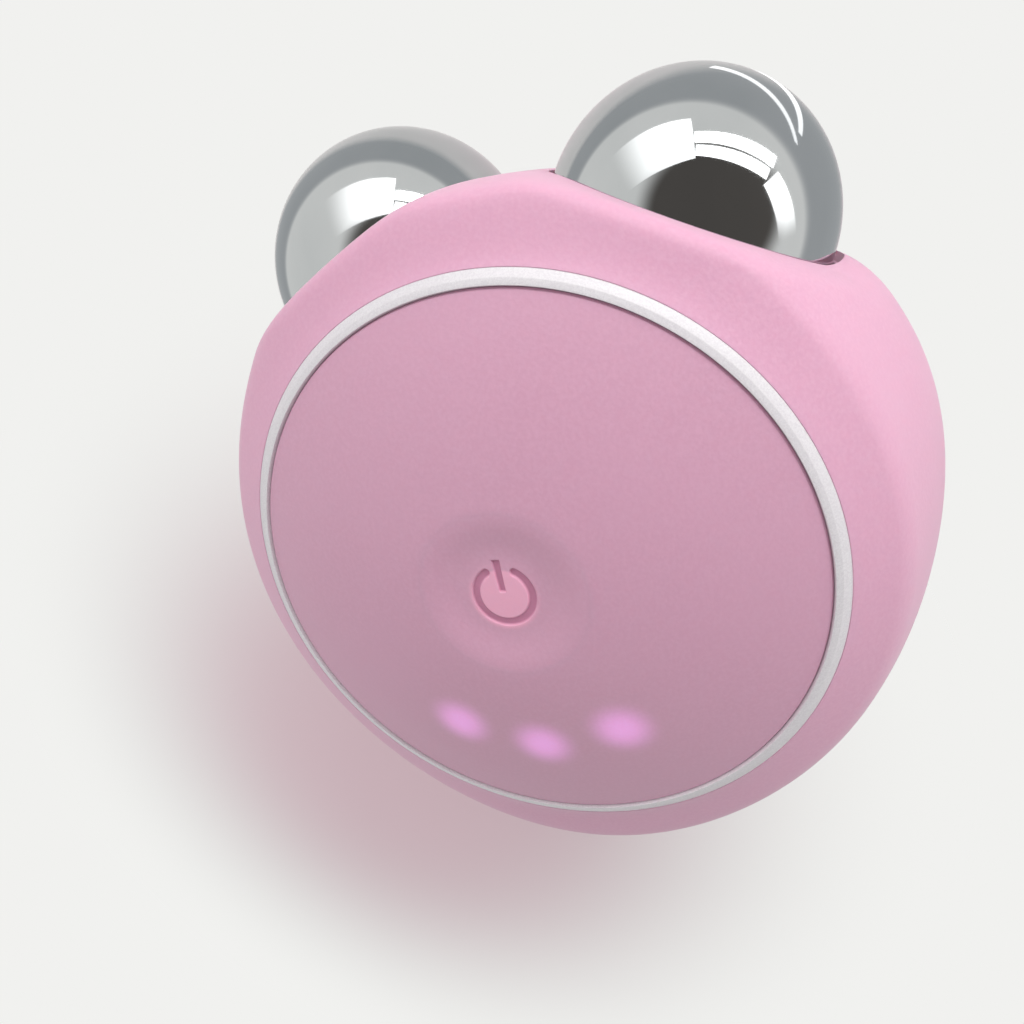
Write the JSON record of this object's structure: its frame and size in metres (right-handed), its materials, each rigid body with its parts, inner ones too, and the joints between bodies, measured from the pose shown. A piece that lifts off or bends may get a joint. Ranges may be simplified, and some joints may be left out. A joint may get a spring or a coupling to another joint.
{
  "type": "facial toning device",
  "caption": "Palm-sized round silicone-clad facial toning device with metal contact balls, a domed face pad, a power key, glowing indicators and a charging jack.",
  "frame": {"origin": "middle of the small flat on the back, which the device rests on, under the centre of the trim ring", "axes": "+Z out of the face, +Y towards the two balls, +X to the right of the face seen from the front"},
  "size_m": [0.0638, 0.0685, 0.0414],
  "materials": {
    "silicone": "soft satin",
    "pad_silicone": "soft satin",
    "pearl_white": "pearl satin",
    "chrome": "mirror",
    "case_plastic": "moulded matte",
    "black_rubber": "matte",
    "steel": "machined",
    "natural_nylon": "moulded matte",
    "brass": "machined",
    "black_wire": "smooth",
    "red_wire": "smooth",
    "blue_wire": "smooth",
    "board_green": "solder mask",
    "chip_black": "moulded matte",
    "light_white": "clear",
    "clear_plastic": "polished clear",
    "pouch_foil": "foil",
    "grey_foam": "open cell",
    "dark_metal": "sintered",
    "jack_plastic": "moulded matte"
  },
  "bodies": {
    "housing": {"silicone_sleeve": "silicone", "trim_ring": "pearl_white", "face_pad": "pad_silicone", "face_plate": "case_plastic", "front_case": "case_plastic", "rear_case": "case_plastic", "case_gasket": "black_rubber", "case_screws": "steel", "left_ball": "chrome", "right_ball": "chrome", "left_ball_stud": "steel", "right_ball_stud": "steel", "left_ball_seat": "natural_nylon", "right_ball_seat": "natural_nylon", "left_ball_seal": "black_rubber", "right_ball_seal": "black_rubber", "left_stud_nut": "brass", "right_stud_nut": "brass", "left_contact_tab": "brass", "right_contact_tab": "brass", "left_ball_lead": "black_wire", "right_ball_lead": "red_wire", "main_board": "board_green", "board_chips": "chip_black", "board_screws": "steel", "indicator_lights": "light_white", "light_guide": "clear_plastic", "switch_body": "chip_black", "battery_cell": "pouch_foil", "battery_cushion": "grey_foam", "battery_leads": "red_wire", "motor_can": "steel", "motor_bush": "brass", "motor_cradle": "black_rubber", "motor_leads": "blue_wire", "jack_shell": "jack_plastic", "jack_blades": "brass", "jack_seal": "black_rubber"},
    "power_key": {"power_key": "pad_silicone", "key_plunger": "case_plastic"},
    "switch_stem": {"switch_stem": "chip_black"},
    "motor_rotor": {"motor_shaft": "steel", "motor_weight": "dark_metal"}
  },
  "joints": [
    {"name": "power_press", "type": "slide", "parent": "housing", "child": "power_key", "axis": [0, 0, -1], "range_m": [0, 0.0004], "stiffness_N_per_m": 1500},
    {"name": "switch_slide", "type": "slide", "parent": "housing", "child": "switch_stem", "axis": [0, 0, -1], "range_m": [0, 0.0004]},
    {"name": "motor_spin", "type": "hinge", "parent": "housing", "child": "motor_rotor", "pos_m": [0.003, -0.009, 0.0069], "axis": [1, 0, 0], "continuous": true}
  ],
  "couplings": [
    {"joint": "switch_slide", "follows": "power_press", "ratio": 1}
  ]
}
